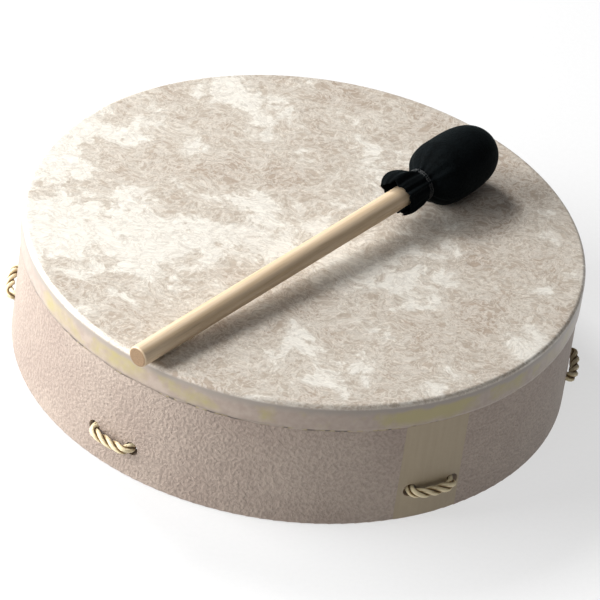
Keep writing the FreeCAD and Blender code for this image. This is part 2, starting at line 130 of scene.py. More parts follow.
def new_material(name, **shader):
    """A material, its tree, its Principled shader and the object coordinates."""
    material = bpy.data.materials.new(name)
    material.use_nodes = True
    tree = material.node_tree
    bsdf = tree.nodes["Principled BSDF"]
    for socket, value in shader.items():
        bsdf.inputs[socket.replace("_", " ")].default_value = value
    here = add(tree, "TexCoord").outputs["Object"]
    return material, tree, bsdf, here


def finish_with(tree, bsdf, colour, height=None, depth=0.0, strength=1.0):
    """Links a pattern's colour, and its relief of this depth in millimetres."""
    link(tree, colour, bsdf.inputs["Base Color"])
    if height is not None:
        bump = add(tree, "Bump", {"Height": height, "Distance": depth * MM, "Strength": strength})
        link(tree, bump, bsdf.inputs["Normal"])


# ---- Sizes and colours ----


def length(name, description, millimetres):
    """A length that a user may change."""
    return FloatProperty(name=name, description=description, default=millimetres * MM,
                         min=0.0, precision=5, unit="LENGTH")


def colour(name, description, code):
    """A colour that a user may change."""
    return FloatVectorProperty(name=name, description=description, default=linear(code),
                               size=3, min=0.0, max=1.0, subtype="COLOR")


def angle(name, description, degrees):
    """An angle that a user may change."""
    return FloatProperty(name=name, description=description, default=math.radians(degrees),
                         unit="ROTATION")


class DrumSizes(bpy.types.PropertyGroup):
    """Sizes of the drum's film and ropes"""
    film_thickness: length("Film thickness", "Thickness of the playing film", 0.5)
    film_bend: length("Film bend", "Outer radius where the film turns down over the rim", 2.65)
    film_wave: length("Film edge wave", "How far the film's lower edge wanders", 0.7)
    glue_wave: length("Glue edge wave", "How far the glue's lower edge wanders", 1.1)
    hole_height: length("Hole height", "Height of the rope holes above the bottom edge", 22.0)
    hole_pitch: length("Hole pitch", "Distance between the two holes of one loop", 30.0)
    loop_angle: angle("Loop angle", "Angle between the first rope and the second", 56.0)
    rope_diameter: length("Rope diameter", "Diameter of the hand ropes", 6.5)
    rope_gap: length("Rope gap", "Gap between neighbouring runs of rope", 0.3)
    rope_lay: length("Rope lay", "Length in which a strand of the rope turns once", 24.0)
    strands: IntProperty(name="Strands", description="Strands in the rope", default=3,
                         min=2, max=6)
    twine_diameter: length("Twine diameter", "Diameter of the seizings' twine", 1.6)
    lash_diameter: length("Lashing diameter", "Diameter of the cord round the crossing", 2.6)


class DrumColours(bpy.types.PropertyGroup):
    """Colours of the drum"""
    hoop_pale: colour("Hoop, pale", "Raised parts of the hoop's texture", "#A7988C")
    hoop_deep: colour("Hoop, deep", "Darker clouds of the hoop", "#9B8B80")
    strip_pale: colour("Strip, pale", "Joint strip between its grain lines", "#A09178")
    strip_deep: colour("Strip, deep", "Grain lines of the joint strip", "#9B8C73")
    film_pale: colour("Film, pale", "Brightest cream of the film", "#E2DDD3")
    film_middle: colour("Film, middle", "Even cream of the film", "#BFB4A6")
    film_mottle: colour("Film, mottled", "Brownish clouds of the film", "#AE9E8E")
    film_fibre: colour("Film fibres", "Fine pale fibres in the film", "#E6E1D7")
    film_hair: colour("Film hairs", "Fine darker hairs in the film", "#9D8E7D")
    collar_grey: colour("Collar, bare", "Turned-down film just below the rim", "#948B82")
    collar_glue: colour("Collar, glued", "Turned-down film with glue behind it", "#A29768")
    glue: colour("Glue", "Glue that shows below the film", "#A3946E")
    rope_pale: colour("Rope, pale", "Outside of the rope's strands", "#E9DAB4")
    rope_deep: colour("Rope, deep", "Gaps between the rope's strands", "#8B6B35")
    twine_pale: colour("Twine, pale", "Outside of the twine's strands", "#D9C59A")
    twine_deep: colour("Twine, deep", "Gaps between the twine's strands", "#846A3E")


class MalletSizes(bpy.types.PropertyGroup):
    """Sizes of the mallet's cloth head"""
    head_radius: length("Head radius", "Radius of the head round the mallet's axis", 21.5)
    head_nose: length("Nose length", "Length of the head's rounded front", 33.8)
    head_straight: length("Head straight", "Length of the head's straight part", 10.0)
    neck_radius: length("Neck radius", "Radius of the cloth where it is tied", 10.2)
    neck_length: length("Neck length", "Length of the tied neck", 6.0)
    frill_length: length("Frill length", "Length of the loose cloth behind the tie", 19.0)
    frill_flare: length("Frill flare", "How far the loose cloth opens", 3.4)
    cloth_thickness: length("Cloth thickness", "Thickness of the fleece", 1.2)
    tie_diameter: length("Tie diameter", "Diameter of the cord round the neck", 1.4)


class MalletColours(bpy.types.PropertyGroup):
    """Colours of the mallet"""
    dowel_pale: colour("Dowel, pale", "Wood between the grain lines", "#D6C0A3")
    dowel_deep: colour("Dowel, deep", "Grain lines of the wood", "#C8AE8B")
    dowel_end: colour("Dowel end", "End grain of the wood", "#846A4D")
    fleece: colour("Fleece", "Black fleece in its hollows", "#020405")
    fleece_nap: colour("Fleece nap", "Black fleece on its raised nap", "#05090B")
    foam: colour("Foam", "Foam inside the head", "#4A4A48")
    tie: colour("Tie", "Cord round the neck", "#15191B")


# ---- Materials ----


def shaded(tree, colour, pattern, low, high, dark, light):
    """A colour scaled from dark to light as a pattern goes from its low value to its high one."""
    amount = add(tree, "MapRange", {
        "Value": pattern, "From Min": low, "From Max": high, "To Min": dark, "To Max": light})
    return add(tree, "VectorMath", {0: colour, "Scale": amount}, operation="SCALE")


def lacquered_fibre_material(look):
    """Wood fibre bonded with resin and lacquered: a satin skin with an orange-peel texture."""
    material, tree, bsdf, here = new_material(
        "lacquered_wood_fibre", Roughness=0.52, IOR=1.5, Specular_IOR_Level=0.35)
    pebble = add(tree, "TexNoise", {
        "Vector": here, "Scale": per_metre(2.0), "Detail": 1.5, "Roughness": 0.4})
    grit = add(tree, "TexNoise", {"Vector": here, "Scale": per_metre(0.8)})
    cloud = add(tree, "TexNoise", {"Vector": here, "Scale": per_metre(60.0), "Detail": 5.0})
    tone = add(tree, "ValToRGB", {"Fac": cloud},
               stops=((0.36, look.hoop_deep), (0.64, look.hoop_pale)))
    # Painted shade and highlight: the pebbles' hollows are painted darker and their tops paler,
    # with the same noise as their relief.
    pebble_painted_shade = shaded(tree, tone, pebble, 0.36, 0.62, 0.86, 1.05)
    height = add(tree, "Math", {0: grit, 1: 0.35, 2: pebble}, operation="MULTIPLY_ADD")
    finish_with(tree, bsdf, pebble_painted_shade, height, 0.95, 0.9)
    return material


def joint_strip_material(look):
    """A smooth strip of the same board under clear lacquer: even, with faint upright grain."""
    material, tree, bsdf, here = new_material("lacquered_joint_strip", Roughness=0.42, IOR=1.5)
    stretch = add(tree, "Mapping", {"Vector": here, "Scale": (1.0, 1.0, 0.08)})
    grain = add(tree, "TexNoise", {"Vector": stretch, "Scale": per_metre(2.5), "Detail": 4.0})
    peel = add(tree, "TexNoise", {"Vector": here, "Scale": per_metre(4.0), "Detail": 1.0})
    tone = add(tree, "ValToRGB", {"Fac": grain},
               stops=((0.3, look.strip_deep), (0.7, look.strip_pale)))
    finish_with(tree, bsdf, tone, peel, 0.6, 0.4)
    return material


def fibre_lines(tree, vector, millimetres, width, offset):
    """Fine curly fibres, drawn where a noise crosses its middle value."""
    moved = add(tree, "Mapping", {"Vector": vector, "Location": offset})
    field = add(tree, "TexNoise", {
        "Vector": moved, "Scale": per_metre(millimetres), "Detail": 4.0, "Roughness": 0.62,
        "Distortion": 0.5})
    away = add(tree, "Math", {0: field, 1: 0.5}, operation="SUBTRACT")
    size = add(tree, "Math", {0: away}, operation="ABSOLUTE")
    return add(tree, "MapRange", {
        "Value": size, "From Max": width, "To Min": 1.0, "To Max": 0.0})


def skin_print_film_material(look, top, bare, bottom, strip):
    """Polyester film printed like skin: cloudy cream mottling crossed by fine pale fibres.

    Its collar is clearer, so that the hoop and patches of yellow glue show through it.
    """
    material, tree, bsdf, here = new_material("skin_print_film", Roughness=0.3, IOR=1.5)
    bend = add(tree, "TexNoise", {"Vector": here, "Scale": per_metre(28.0), "Detail": 4.0})
    warp = add(tree, "VectorMath", {
        0: bend.outputs["Color"], 1: (0.03, 0.03, 0.03), 2: here}, operation="MULTIPLY_ADD")
    cloud = add(tree, "TexNoise", {
        "Vector": warp, "Scale": per_metre(95.0), "Detail": 8.0, "Roughness": 0.6})
    blotch = add(tree, "TexNoise", {
        "Vector": warp, "Scale": per_metre(30.0), "Detail": 8.0, "Roughness": 0.72})
    mixed = add(tree, "Math", {0: blotch, 1: 0.9, 2: cloud}, operation="MULTIPLY_ADD")
    # Painted light: the film is painted paler towards one side and darker towards the front and
    # back, for how the lamps fall across it.
    painted_falloff_oval = add(tree, "Mapping", {
        "Vector": here, "Location": (0.06, 0.02, 0.0), "Scale": (0.5, 1.25, 0.0)})
    far = add(tree, "VectorMath", {0: painted_falloff_oval}, operation="LENGTH")
    side = add(tree, "MapRange", {
        "Value": far.outputs["Value"], "From Min": 30 * MM, "From Max": 200 * MM,
        "To Min": 0.07, "To Max": -0.12})
    both = add(tree, "Math", {0: mixed, 1: side}, operation="ADD")
    skin = add(tree, "ValToRGB", {"Fac": both},
               stops=((0.74, look.film_mottle), (1.16, look.film_pale), (0.95, look.film_middle)))
    # Real fibres are a few hundredths of a millimetre thick. These are drawn coarser, to show.
    lines = fibre_lines(tree, warp, 26.0, 0.022, (0.1, 0.2, 0.0))
    for curl, width, offset in ((13.0, 0.04, (0.5, 0.1, 0.3)), (6.5, 0.06, (0.3, 0.7, 0.2))):
        finer = fibre_lines(tree, warp, curl, width, offset)
        lines = add(tree, "Math", {0: lines, 1: finer}, operation="MAXIMUM")
    amount = add(tree, "Math", {0: lines, 1: 0.6}, operation="MULTIPLY")
    fibres = add(tree, "Mix", {
        "Factor": amount, 6: skin, 7: opaque(look.film_fibre)}, data_type="RGBA")
    curls = fibre_lines(tree, warp, 9.0, 0.045, (0.9, 0.4, 0.6))
    faint = add(tree, "Math", {0: curls, 1: 0.3}, operation="MULTIPLY")
    hairs = add(tree, "Mix", {
        "Factor": faint, 6: fibres.outputs[2], 7: opaque(look.film_hair)}, data_type="RGBA")
    streak = add(tree, "Mapping", {"Vector": warp, "Scale": (0.2, 1.0, 1.0)})
    strokes = add(tree, "TexNoise", {
        "Vector": streak, "Scale": per_metre(1.8), "Detail": 4.0, "Roughness": 0.75})
    printed = shaded(tree, hairs.outputs[2], strokes, 0.34, 0.66, 0.84, 1.1)

    # The collar: the hoop shows through it, with a grey bend above and patches of glue.
    split = add(tree, "SeparateXYZ", {"Vector": here})
    waver = add(tree, "TexNoise", {"Vector": here, "Scale": per_metre(12.0), "Detail": 4.0})
    drift = add(tree, "Math", {0: waver, 1: 6.0 * MM, 2: split.outputs["Z"]},
                operation="MULTIPLY_ADD")
    below_rim = add(tree, "MapRange", {
        "Value": split.outputs["Z"], "From Min": top - 3.4 * MM, "From Max": top - 1.8 * MM,
        "To Min": 1.0, "To Max": 0.0})
    bent = add(tree, "MapRange", {
        "Value": drift, "From Min": bare - 0.5 * MM, "From Max": bare + 3.5 * MM})
    mottle = add(tree, "TexNoise", {"Vector": here, "Scale": per_metre(5.0), "Detail": 5.0})
    behind = add(tree, "ValToRGB", {"Fac": mottle},
                 stops=((0.35, look.hoop_deep), (0.65, look.hoop_pale)))
    edge = add(tree, "Mix", {
        "Factor": bent, 6: behind, 7: opaque(look.collar_grey)}, data_type="RGBA")
    low = add(tree, "MapRange", {
        "Value": drift, "From Min": bottom + 3.0 * MM, "From Max": bottom + 8.0 * MM})
    high = add(tree, "MapRange", {
        "Value": drift, "From Min": bare + 0.5 * MM, "From Max": bare + 3.0 * MM,
        "To Min": 1.0, "To Max": 0.0})
    band = add(tree, "Math", {0: low, 1: high}, operation="MULTIPLY")
    patch = add(tree, "TexNoise", {
        "Vector": here, "Scale": per_metre(45.0), "Detail": 8.0, "Roughness": 0.65})
    over_strip = add(tree, "VectorMath", {0: here, 1: strip}, operation="DISTANCE")
    thicker = add(tree, "MapRange", {
        "Value": over_strip.outputs["Value"], "From Min": 14 * MM, "From Max": 32 * MM,
        "To Min": 0.2, "To Max": 0.0})
    glue = add(tree, "Math", {0: patch, 1: thicker}, operation="ADD")
    patches = add(tree, "MapRange", {
        "Value": glue, "From Min": 0.48, "From Max": 0.6, "To Max": 0.9})
    yellow = add(tree, "Math", {0: band, 1: patches}, operation="MULTIPLY")
    collar = add(tree, "Mix", {
        "Factor": yellow, 6: edge.outputs[2], 7: opaque(look.collar_glue)}, data_type="RGBA")
    whole = add(tree, "Mix", {
        "Factor": below_rim, 6: printed, 7: collar.outputs[2]}, data_type="RGBA")
    finish_with(tree, bsdf, whole.outputs[2], both, 0.35, 0.5)
    return material


def squeezed_glue_material(look):
    """Squeezed-out glue: amber lumps broken up by short dark stretches of painted shade under the
    film's edge.
    """
    material, tree, bsdf, here = new_material("squeezed_out_glue", Roughness=0.4, IOR=1.5)
    lump = add(tree, "TexNoise", {"Vector": here, "Scale": per_metre(9.0), "Detail": 4.0})
    # Painted shade: the darkest stop, about a third of the hoop's deep colour, paints short dark
    # stretches where the film's edge shades the glue.
    tone = add(tree, "ValToRGB", {"Fac": lump},
               stops=((0.42, tuple(0.3 * value for value in look.hoop_deep)),
                      (0.56, look.hoop_pale), (0.48, look.glue)))
    finish_with(tree, bsdf, tone, lump, 0.4, 0.5)
    return material


def twisted_fibre_material(name, pale, deep, fibre):
    """Twisted plant fibre: pale on the outside of each strand, with painted shade darkening the
    gaps between strands.

    The fibres run along each strand, and the depth attribute tells the outside from the gaps, where
    the shade is painted.
    """
    material, tree, bsdf, here = new_material(name, Roughness=0.78, Sheen_Weight=0.15)
    strand = add(tree, "UVMap", uv_map="UVMap")
    stretch = add(tree, "Mapping", {"Vector": strand, "Scale": (1.0, 0.12, 1.0)})
    # Real plant fibres are about a tenth of a millimetre thick. They are drawn coarser, to show.
    threads = add(tree, "TexNoise", {"Vector": stretch, "Scale": per_metre(fibre), "Detail": 3.0})
    patch = add(tree, "TexNoise", {"Vector": here, "Scale": per_metre(12.0), "Detail": 3.0})
    # Painted shade: the depth attribute darkens the gaps between strands, down to about a third of
    # the deep colour.
    outside = add(tree, "Attribute", attribute_name="depth")
    level = add(tree, "Math", {0: threads, 1: 0.7, 2: outside.outputs["Fac"]},
                operation="MULTIPLY_ADD")
    lift = add(tree, "Math", {0: patch, 1: 0.4, 2: level}, operation="MULTIPLY_ADD")
    tone = add(tree, "ValToRGB", {"Fac": lift},
               stops=((0.55, tuple(0.35 * value for value in deep)), (1.0, pale), (0.78, deep)))
    finish_with(tree, bsdf, tone, threads, 0.4, 0.6)
    return material


def birch_dowel_material(look, place, butt):
    """A sanded birch dowel: pale, satin, with fine grain along it and a browner sawn end."""
    material, tree, bsdf, here = new_material("sanded_birch", Roughness=0.5, IOR=1.5)
    turned = add(tree, "Mapping", {
        "Vector": here, "Location": place.to_translation(), "Rotation": place.to_euler()},
                 vector_type="TEXTURE")
    stretch = add(tree, "Mapping", {"Vector": turned, "Scale": (1.0, 1.0, 0.03)})
    grain = add(tree, "TexNoise", {
        "Vector": stretch, "Scale": per_metre(2.2), "Detail": 5.0, "Roughness": 0.6})
    # Birch pores are about a tenth of a millimetre wide. They are drawn coarser, to show.
    pores = add(tree, "TexNoise", {"Vector": stretch, "Scale": per_metre(0.7)})
    tone = add(tree, "ValToRGB", {"Fac": grain},
               stops=((0.32, look.dowel_deep), (0.62, look.dowel_pale)))
    side = shaded(tree, tone, pores, 0.3, 0.42, 0.86, 1.0)
    split = add(tree, "SeparateXYZ", {"Vector": turned})
    at_end = add(tree, "MapRange", {
        "Value": split.outputs["Z"], "From Min": butt + 0.1 * MM, "From Max": butt + 0.5 * MM,
        "To Min": 1.0, "To Max": 0.0})
    speck = add(tree, "TexNoise", {"Vector": turned, "Scale": per_metre(1.0), "Detail": 3.0})
    end = shaded(tree, look.dowel_end, speck, 0.35, 0.6, 0.82, 1.05)
    whole = add(tree, "Mix", {"Factor": at_end, 6: side, 7: end}, data_type="RGBA")
    finish_with(tree, bsdf, whole.outputs[2], grain, 0.12, 0.5)
    return material


def black_fleece_material(look):
    """Brushed polyester fleece: a black matt nap with a soft sheen and small tufts."""
    material, tree, bsdf, here = new_material(
        "black_fleece", Roughness=0.9, IOR=1.45, Sheen_Weight=0.02, Sheen_Roughness=0.4,
        Sheen_Tint=(0.45, 0.75, 0.8, 1.0), Specular_IOR_Level=0.08)
    # The real nap is finer than half a millimetre. It is drawn coarser, to show.
    tuft = add(tree, "TexNoise", {
        "Vector": here, "Scale": per_metre(1.6), "Detail": 3.0, "Roughness": 0.6})
    clump = add(tree, "TexNoise", {"Vector": here, "Scale": per_metre(7.0)})
    both = add(tree, "Math", {0: clump, 1: 0.8, 2: tuft}, operation="MULTIPLY_ADD")
    # Painted shade and highlight: the fleece is painted darker in its hollows and lighter on its
    # raised nap, with the same noise as its relief.
    tone = add(tree, "ValToRGB", {"Fac": both},
               stops=((0.7, look.fleece), (1.1, look.fleece_nap)))
    finish_with(tree, bsdf, tone, both, 0.9, 0.6)
    return material


def foam_material(look):
    """Open-cell foam: matt dark grey with small round pores."""
    material, tree, bsdf, here = new_material("open_cell_foam", Roughness=0.95)
    cells = add(tree, "TexVoronoi", {"Vector": here, "Scale": per_metre(1.2)})
    # Painted shade: the round pores are painted darker, down to about a third of the foam's grey,
    # with the same cells as their relief.
    tone = shaded(tree, look.foam, cells, 0.0, 0.6, 0.35, 1.1)
    finish_with(tree, bsdf, tone, cells, 0.4, 0.7)
    return material


def waxed_cord_material(look):
    """Waxed polyester cord: dark and slightly glossy, so that each turn catches the light."""
    material, tree, bsdf, _ = new_material("waxed_polyester_cord", Roughness=0.35, IOR=1.5)
    strand = add(tree, "UVMap", uv_map="UVMap")
    threads = add(tree, "TexNoise", {"Vector": strand, "Scale": per_metre(0.5)})
    tone = shaded(tree, look.tie, threads, 0.3, 0.7, 0.6, 1.2)
    finish_with(tree, bsdf, tone, threads, 0.2, 0.5)
    return material


def studio_paper_material():
    """White studio paper lit from behind: plain and matt, so that its shadows stay faint."""
    material, tree, bsdf, here = new_material(
        "backlit_studio_paper", Roughness=0.9, Emission_Color=(1.0, 1.0, 1.0, 1.0),
        Emission_Strength=0.6)
    tooth = add(tree, "TexNoise", {"Vector": here, "Scale": per_metre(3.0)})
    tone = add(tree, "ValToRGB", {"Fac": tooth},
               stops=((0.3, linear("#999999")), (0.7, linear("#9C9C9C"))))
    finish_with(tree, bsdf, tone)
    return material


# ---- Meshes ----


def new_piece(name, shape, material, body, slot, *replaced):
    """A piece made from a bmesh, or from a mesh: smooth, finished and riding on its body."""
    if isinstance(shape, bmesh.types.BMesh):
        mesh = bpy.data.meshes.new(name)
        shape.to_mesh(mesh)
        shape.free()
    else:
        mesh = shape
        mesh.name = name
    mesh.shade_smooth()
    mesh.materials.clear()
    mesh.materials.append(material)
    piece = bpy.data.objects.new(name, mesh)
    bpy.context.collection.objects.link(piece)
    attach(piece, body)
    if replaced:
        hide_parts(*replaced)
    return piece


def dress(node, material):
    """Gives a node of the frame its finish."""
    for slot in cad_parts[node].material_slots:
        slot.link = "OBJECT"
        slot.material = material


def spun(profile, steps, closed=False):
    """A skin made by turning a profile of (radius, height) once round the upright axis."""
    skin = bmesh.new()
    row = [skin.verts.new((radius, 0, height)) for radius, height in profile]
    edges = [skin.edges.new(pair) for pair in zip(row, row[1:])]
    if closed:
        edges.append(skin.edges.new((row[-1], row[0])))
    bmesh.ops.spin(skin, geom=row + edges, cent=ORIGIN, axis=UP, angle=TURN, steps=steps,
                   use_merge=True)
    bmesh.ops.remove_doubles(skin, verts=skin.verts, dist=0.005 * MM)
    bmesh.ops.recalc_face_normals(skin, faces=skin.faces)
    return skin


def wander(angle, reach, seed):
    """A number from about -1 to 1 that changes smoothly once round the drum."""
    return noise.noise(Vector((math.cos(angle) * reach, math.sin(angle) * reach, seed)))


def curve_mesh(curve):
    """The mesh that a curve makes. The curve itself is removed."""
    holder = bpy.data.objects.new("route", curve)
    bpy.context.collection.objects.link(holder)
    depsgraph = bpy.context.evaluated_depsgraph_get()
    mesh = bpy.data.meshes.new_from_object(holder.evaluated_get(depsgraph))
    bpy.data.objects.remove(holder)
    bpy.data.curves.remove(curve)
    return mesh


def smooth_line(points, step, closed=False):
    """Places at least a step apart on the smooth line that these control points make."""
    curve = bpy.data.curves.new("route", "CURVE")
    curve.dimensions = "3D"
    curve.resolution_u = 64
    spline = curve.splines.new("NURBS")
    spline.points.add(len(points) - 1)
    for point, place in zip(spline.points, points):
        point.co = (*place, 1)
    spline.order_u = 3
    spline.use_cyclic_u = closed
    spline.use_endpoint_u = not closed
    line = curve_mesh(curve)
    places = [vertex.co.copy() for vertex in line.vertices]
    bpy.data.meshes.remove(line)
    kept = places[:1]
    for place in places[1:]:
        if (place - kept[-1]).length >= step:
            kept.append(place)
    if not closed:
        kept[-1] = places[-1]
    return kept


def strand_lines(line, radius, strands, lay, closed=False):
    """The middle line of each strand of a rope of this radius that is laid along a line."""
    count = len(line)
    heading = []
    for number in range(count):
        before = line[number - 1] if closed or number else line[0]
        after = line[(number + 1) % count] if closed or number < count - 1 else line[-1]
        heading.append((after - before).normalized())
    side = heading[0].orthogonal().normalized()
    sides = [side]
    for before, after in zip(heading, heading[1:] + heading[:1]):
        side = before.rotation_difference(after) @ side
        side = (side - after * side.dot(after)).normalized()
        sides.append(side)
    lengths = [0.0]
    for number in range(1, count + 1):
        lengths.append(lengths[-1] + (line[number % count] - line[number - 1]).length)
    if closed:
        turns = max(1, round(lengths[-1] / lay)) * TURN
        slip = sides[0].angle(sides[-1])
        slip *= 1 if sides[0].cross(sides[-1]).dot(heading[0]) > 0 else -1
        rate = (turns - slip) / lengths[-1]
    else:
        rate = TURN / lay
    reach = radius / (1 + math.sin(math.pi / strands))
    made = []
    for strand in range(strands):
        places = []
        for number in range(count):
            angle = rate * lengths[number] + TURN * strand / strands
            out = Matrix.Rotation(angle, 3, heading[number]) @ sides[number]
            places.append(line[number] + out * reach)
        made.append(places)
    return made, radius - reach


def rope_mesh(lines, radius, strands, lay, closed=False, detail=2):
    """The mesh of one or more laid ropes, with its outside and its gaps told apart."""
    curve = bpy.data.curves.new("strands", "CURVE")
    curve.dimensions = "3D"
    curve.bevel_resolution = detail
    curve.use_fill_caps = not closed
    for line in lines:
        laid, strand_radius = strand_lines(line, radius, strands, lay, closed)
        for places in laid:
            spline = curve.splines.new("POLY")
            spline.points.add(len(places) - 1)
            for point, place in zip(spline.points, places):
                point.co = (*place, 1)
            spline.use_cyclic_u = closed
    curve.bevel_depth = strand_radius
    mesh = curve_mesh(curve)
    run = sum((b - a).length for a, b in zip(lines[0], lines[0][1:]))
    around = TURN * strand_radius
    for corner in mesh.uv_layers[0].data:
        corner.uv = (corner.uv[0] * around, corner.uv[1] * run)
    tree = kdtree.KDTree(sum(len(line) for line in lines))
    for number, place in enumerate(place for line in lines for place in line):
        tree.insert(place, number)
    tree.balance()
    # The depth attribute, used for the painted shade in the gaps: zero near the rope's middle line,
    # up to a half on the strands' outside.
    depth = mesh.attributes.new("depth", "FLOAT", "POINT")
    for vertex in mesh.vertices:
        away = tree.find(vertex.co)[2] / radius
        depth.data[vertex.index].value = max(0.0, min(1.0, (away - 0.55) / 0.3)) * 0.5
    return mesh


# ---- The drum ----


def drum_facts():
    """The hoop's outside radius and the film's radius, top and bottom, from the frame."""
    shell_low, shell_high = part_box("shell")
    film_low, film_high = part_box("drumhead")
    return {
        "hoop": (shell_high[1] - shell_low[1]) / 2,
        "film": (film_high[1] - film_low[1]) / 2,
        "film_top": film_high[2],
        "film_bottom": film_low[2],
    }


class DRUM_OT_hoop(bpy.types.Operator):
    """Finishes the hoop and its joint strip"""
    bl_idname = "drum.hoop"
    bl_label = "Hoop and joint strip"

    def execute(self, context):
        look = context.scene.drum_colours
        dress("shell", lacquered_fibre_material(look))
        dress("seam_strip", joint_strip_material(look))
        return {"FINISHED"}


class DRUM_OT_film(bpy.types.Operator):
    """Makes the playing film, turned down over the rim, and the glue that holds it"""
    bl_idname = "drum.film"
    bl_label = "Playing film and glue"

    def execute(self, context):
        size = context.scene.drum_sizes
        look = context.scene.drum_colours
        facts = drum_facts()
        outside, top, bottom = facts["film"], facts["film_top"], facts["film_bottom"]
        bend = size.film_bend
        profile = [(share * (outside - bend), top) for share in (0, 0.25, 0.5, 0.75, 0.94, 0.99)]
        for number in range(9):
            turn = number / 8 * math.pi / 2
            profile.append((outside - bend + bend * math.sin(turn),
                            top - bend + bend * math.cos(turn)))
        side = top - bend - bottom
        profile += [(outside, bottom + side * share) for share in (0.8, 0.55, 0.35, 0.2, 0.1, 0)]
        film = spun(profile, 480)
        if sum(face.normal.z for face in film.faces) < 0:
            bmesh.ops.reverse_faces(film, faces=film.faces)
        for vertex in film.verts:
            share = 1 - (vertex.co.z - bottom) / side
            if 0.3 < share:
                turn = math.atan2(vertex.co.y, vertex.co.x)
                ragged = wander(turn, 5, 1.0) + 0.5 * wander(turn, 17, 2.0)
                vertex.co.z += size.film_wave * (share - 0.3) / 0.7 * (0.35 + ragged)
        low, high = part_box("seam_strip")
        strip = ((low[0] + high[0]) / 2, (low[1] + high[1]) / 2, top - 9 * MM)
        film = new_piece("playing_film", film,
                         skin_print_film_material(look, top, top - 5 * MM, bottom, strip),
                         DRUM, "film", "drumhead")
        wall = film.modifiers.new("thickness", "SOLIDIFY")
        wall.thickness = size.film_thickness
        wall.offset = -1
        wall.use_even_offset = True

        low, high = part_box("collar_glue")
        inside = facts["hoop"] + 0.03 * MM
        face = outside - size.film_thickness - 0.1 * MM
        ring = [(inside, high[2]), (face, high[2]), (face, low[2] + 2.2 * MM),
                (face - 0.1 * MM, low[2] + 0.7 * MM), (inside, low[2])]
        glue = spun(ring, 480, closed=True)
        for vertex in glue.verts:
            if vertex.co.z < low[2] + 2.5 * MM:
                turn = math.atan2(vertex.co.y, vertex.co.x)
                ragged = wander(turn, 7, 5.0) + 0.6 * wander(turn, 24, 6.0)
                vertex.co.z += size.glue_wave * ragged
        new_piece("collar_glue_line", glue, squeezed_glue_material(look), DRUM, "glue",
                  "collar_glue")
        return {"FINISHED"}


def round_axis(radius, turn, height):
    """A place at this radius and angle about the drum's axis."""
    return Vector((radius * math.cos(turn), radius * math.sin(turn), height))


def loop_points(size, middle, hoop):
    """Out at one hole, along the hoop's outside and back in through the next hole."""
    height = size.hole_height
    hole = math.asin(size.hole_pitch / 2 / hoop)
    rope = size.rope_diameter / 2
    outside = (hoop + rope + 0.35 * MM) / math.cos(hole / 2)
    inside = hoop - 19 * MM
    near = hoop - 6 * MM
    taut = hole - 1 * MM / hoop
    leg = hole * 0.42
    half = ((inside, hole, 0), (near, taut, 0), (outside, taut, 0.3 * MM),
            (outside + 0.5 * MM, leg, 1.0 * MM))
    return ([round_axis(radius, middle - turn, height - sag) for radius, turn, sag in half]
            + [round_axis(radius, middle + turn, height - sag) for radius, turn, sag in half[::-1]])


def rope_layer(size, layer, opposite=False):
    """How a rope runs past the hub: its direction, the ways along and across, and its height."""
    turn = (0.0, size.loop_angle, math.pi - size.loop_angle)[layer]
    turn += math.pi if opposite else 0.0
    height = size.hole_height + (layer - 1) * (size.rope_diameter + size.rope_gap)
    return turn, round_axis(1, turn, 0), round_axis(1, turn + math.pi / 2, 0), height


def rope_points(size, layer, hoop):
    """One rope's whole route: from its end at the hub, round both its loops and back."""
    turn, along, across, height = rope_layer(size, layer)
    aside = (size.rope_diameter + size.rope_gap) / 2

    def hub(reach, offset):
        return along * reach + across * offset + UP * height

    return (
        [hub(reach, -aside) for reach in (ROPE_END, ROPE_BOUND, ROPE_SPREAD)]
        + loop_points(size, turn, hoop)
        + [hub(reach, aside) for reach in (ROPE_SPREAD, ROPE_BOUND, -ROPE_BOUND, -ROPE_SPREAD)]
        + loop_points(size, turn + math.pi, hoop)
        + [hub(-reach, -aside) for reach in (ROPE_SPREAD, ROPE_BOUND, ROPE_END)]
    )


class DRUM_OT_ropes(bpy.types.Operator):
    """Lays the three ropes through the hoop's holes and across the inside as a hand-hold"""
    bl_idname = "drum.ropes"
    bl_label = "Hand ropes"

    def execute(self, context):
        size = context.scene.drum_sizes
        look = context.scene.drum_colours
        material = twisted_fibre_material("twisted_straw_rope", look.rope_pale, look.rope_deep, 0.9)
        hoop = drum_facts()["hoop"]
        for layer in range(3):
            line = smooth_line(rope_points(size, layer, hoop), 1.1 * MM)
            mesh = rope_mesh([line], size.rope_diameter / 2, size.strands, size.rope_lay)
            new_piece("laid_rope_%d" % (layer + 1), mesh, material, DRUM, "rope",
                      "hand_rope_%d" % (layer + 1))
        return {"FINISHED"}


def slot_turn(centre, across, half, radius):
    """Control points of one turn of twine round two ropes that lie side by side."""
    corner = half + radius * 0.84
    spots = ((half * 0.2, 1), (half, 1), (corner, 0.86), (half + radius, 0.42),
             (half + radius, -0.42), (corner, -0.86), (half, -1), (half * 0.2, -1))
    return [centre + across * (sign * reach) + UP * (sign * rise * radius)
            for sign in (1, -1) for reach, rise in spots]


def lash_turn(centre, outward, reach, half_height):
    """Control points of one upright turn of the lashing: a rounded rectangle."""
    points = []
    soft = 2.2 * MM
    for right, rise in ((1, 1), (1, -1), (-1, -1), (-1, 1)):
        near = (right * (reach - soft), rise * half_height)
        far = (right * reach, rise * (half_height - soft))
        pair = (near, far) if right * rise > 0 else (far, near)
        points += [centre + outward * out + UP * up for out, up in pair]
    return points


